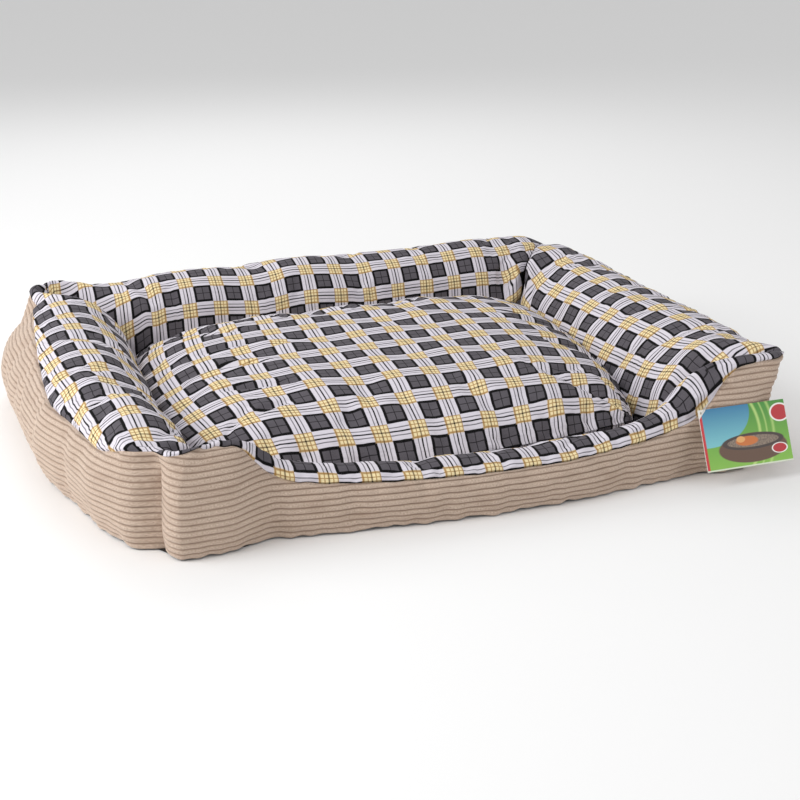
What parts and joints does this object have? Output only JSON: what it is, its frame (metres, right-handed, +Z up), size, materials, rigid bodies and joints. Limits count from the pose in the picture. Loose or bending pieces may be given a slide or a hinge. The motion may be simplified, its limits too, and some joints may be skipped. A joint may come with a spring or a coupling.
{
  "type": "pet cushion bed",
  "caption": "Rectangular bolster pet bed: padded walls with a low front entry, a loose stuffed cushion in the well and a folded hang tag on a nylon loop.",
  "frame": {"origin": "on the floor, in the middle of the whole footprint with the hang tag", "axes": "+X along the length, to the right seen from the entry; -Y out of the low entry side; +Z up"},
  "size_m": [1.1198, 0.8717, 0.171],
  "materials": {
    "corduroy": "beige wide-wale corduroy, wales running along the wall",
    "plaid": "printed plain-weave cotton blend, grey, white and pale yellow plaid",
    "fibre": "loose white polyester fibre",
    "wadding": "needled polyester wadding",
    "bottom_cloth": "dark non-woven underside cloth",
    "nylon": "clear nylon filament",
    "card_white": "uncoated back of printed card",
    "card_print": "gloss laminated printed card"
  },
  "bodies": {
    "tub": {"bottom_panel": "bottom_cloth", "base_padding": "wadding", "floor_panel": "plaid", "front_outer_panel": "corduroy", "front_inner_panel": "plaid", "front_bolster_filling": "fibre", "right_outer_panel": "corduroy", "right_inner_panel": "plaid", "right_bolster_filling": "fibre", "back_outer_panel": "corduroy", "back_inner_panel": "plaid", "back_bolster_filling": "fibre", "left_outer_panel": "corduroy", "left_inner_panel": "plaid", "left_bolster_filling": "fibre"},
    "cushion": {"cushion_top_panel": "plaid", "cushion_bottom_panel": "plaid", "cushion_filling": "fibre"},
    "tag": {"tag_loop": "nylon", "tag_back_leaf": "card_white"},
    "tag_leaf": {"tag_front_leaf": "card_print"}
  },
  "joints": [
    {"name": "cushion_lift", "type": "slide", "parent": "tub", "child": "cushion", "axis": [0, 0, 1], "range_m": [0, 0.3]},
    {"name": "tag_swing", "type": "hinge", "parent": "tub", "child": "tag", "pos_m": [0.32082, -0.39294, 0.11241], "axis": [-1, 0, 0], "range_deg": [0, 110]},
    {"name": "tag_opens", "type": "hinge", "parent": "tag", "child": "tag_leaf", "pos_m": [0.30032, -0.39696, 0.1038], "axis": [0, -0.4226, -0.9063], "range_deg": [0, 170]}
  ]
}
